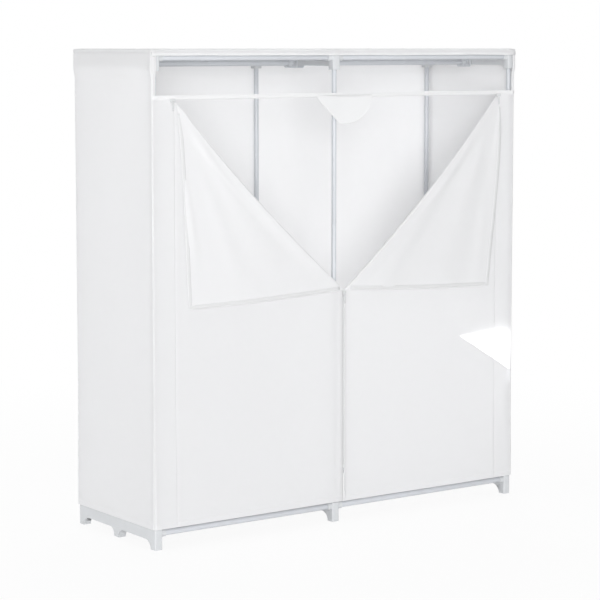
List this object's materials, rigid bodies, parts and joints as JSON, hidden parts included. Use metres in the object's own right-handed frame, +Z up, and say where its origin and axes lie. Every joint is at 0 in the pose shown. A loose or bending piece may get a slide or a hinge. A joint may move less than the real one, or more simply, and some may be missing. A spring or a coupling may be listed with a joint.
{
  "type": "portable fabric wardrobe",
  "caption": "Double-width standing wardrobe of steel tubes and plastic cross frames under a white cloth cover, with a T-shaped front zip and folded-back door flaps.",
  "frame": {"origin": "on the floor under the middle of the cover's width and depth", "axes": "+Z up, the zipped front faces -Y, +X to the right when looking at the front"},
  "size_m": [1.524, 0.5038, 1.61],
  "materials": {
    "cover_cloth": "thin white non-woven cloth, matt, slightly translucent",
    "strip_cloth": "white binding cloth, doubled and stitched",
    "zip_tape": "white woven zip tape with a fine nylon coil",
    "frame_plastic": "pale grey injection-moulded plastic, satin",
    "holder_plastic": "grey moulded plastic",
    "tube_paint": "pale grey powder-coated steel tube, satin",
    "slider_metal": "grey lacquered die-cast metal"
  },
  "bodies": {
    "wardrobe": {"base_cross_frame_left": "frame_plastic", "base_cross_frame_middle": "frame_plastic", "base_cross_frame_right": "frame_plastic", "top_cross_frame_left": "frame_plastic", "top_cross_frame_middle": "frame_plastic", "top_cross_frame_right": "frame_plastic", "post_front_left": "tube_paint", "post_front_middle": "tube_paint", "post_front_right": "tube_paint", "post_back_left": "tube_paint", "post_back_middle": "tube_paint", "post_back_right": "tube_paint", "base_rail_front_left": "tube_paint", "base_rail_front_right": "tube_paint", "base_rail_back_left": "tube_paint", "base_rail_back_right": "tube_paint", "top_rail_front_left": "tube_paint", "top_rail_front_right": "tube_paint", "top_rail_back_left": "tube_paint", "top_rail_back_right": "tube_paint", "hanging_rod_left": "tube_paint", "hanging_rod_right": "tube_paint", "rod_holder_left_outer": "holder_plastic", "rod_holder_left_inner": "holder_plastic", "rod_holder_right_inner": "holder_plastic", "rod_holder_right_outer": "holder_plastic", "cover_roof": "cover_cloth", "cover_front_band": "cover_cloth", "cover_left_wall": "cover_cloth", "cover_right_wall": "cover_cloth", "cover_back_wall": "cover_cloth", "cover_front_border_left": "cover_cloth", "cover_front_border_right": "cover_cloth", "header_strip": "strip_cloth", "header_patch": "strip_cloth", "header_zip": "zip_tape"},
    "left_door": {"door_panel_left": "cover_cloth", "door_zip_left": "zip_tape"},
    "left_flap": {"door_flap_left": "cover_cloth", "flap_zip_left": "zip_tape"},
    "right_door": {"door_panel_right": "cover_cloth", "door_zip_right": "zip_tape"},
    "right_flap": {"door_flap_right": "cover_cloth", "flap_zip_right": "zip_tape"},
    "centre_slider": {"centre_zip_slider": "slider_metal"},
    "centre_pull": {"centre_zip_pull": "slider_metal"},
    "top_left_slider": {"top_left_zip_slider": "slider_metal"},
    "top_left_pull": {"top_left_zip_pull": "slider_metal"},
    "top_right_slider": {"top_right_zip_slider": "slider_metal"},
    "top_right_pull": {"top_right_zip_pull": "slider_metal"}
  },
  "joints": [
    {"name": "left_door_swing", "type": "hinge", "parent": "wardrobe", "child": "left_door", "pos_m": [-0.675, -0.246, 0.75], "axis": [0, 0, -1], "range_deg": [0, 110]},
    {"name": "left_flap_fold", "type": "hinge", "parent": "left_door", "child": "left_flap", "pos_m": [-0.672, -0.247, 1.446], "axis": [-0.7182, 0, 0.6958], "range_deg": [0, 180]},
    {"name": "right_door_swing", "type": "hinge", "parent": "wardrobe", "child": "right_door", "pos_m": [0.675, -0.246, 0.75], "axis": [0, 0, 1], "range_deg": [0, 110]},
    {"name": "right_flap_fold", "type": "hinge", "parent": "right_door", "child": "right_flap", "pos_m": [0.672, -0.247, 1.446], "axis": [-0.7182, 0, -0.6958], "range_deg": [0, 180]},
    {"name": "centre_slider_travel", "type": "slide", "parent": "left_door", "child": "centre_slider", "axis": [0, 0, 1], "range_m": [-0.7, 0.562]},
    {"name": "centre_pull_swing", "type": "hinge", "parent": "centre_slider", "child": "centre_pull", "pos_m": [0, -0.25075, 0.783], "axis": [-1, 0, 0], "range_deg": [0, 170]},
    {"name": "top_left_slider_travel", "type": "slide", "parent": "wardrobe", "child": "top_left_slider", "axis": [1, 0, 0], "range_m": [0, 0.554]},
    {"name": "top_left_pull_swing", "type": "hinge", "parent": "top_left_slider", "child": "top_left_pull", "pos_m": [-0.682, -0.25075, 1.446], "axis": [-1, 0, 0], "range_deg": [0, 170]},
    {"name": "top_right_slider_travel", "type": "slide", "parent": "wardrobe", "child": "top_right_slider", "axis": [-1, 0, 0], "range_m": [0, 0.554]},
    {"name": "top_right_pull_swing", "type": "hinge", "parent": "top_right_slider", "child": "top_right_pull", "pos_m": [0.682, -0.25075, 1.446], "axis": [-1, 0, 0], "range_deg": [0, 170]}
  ]
}
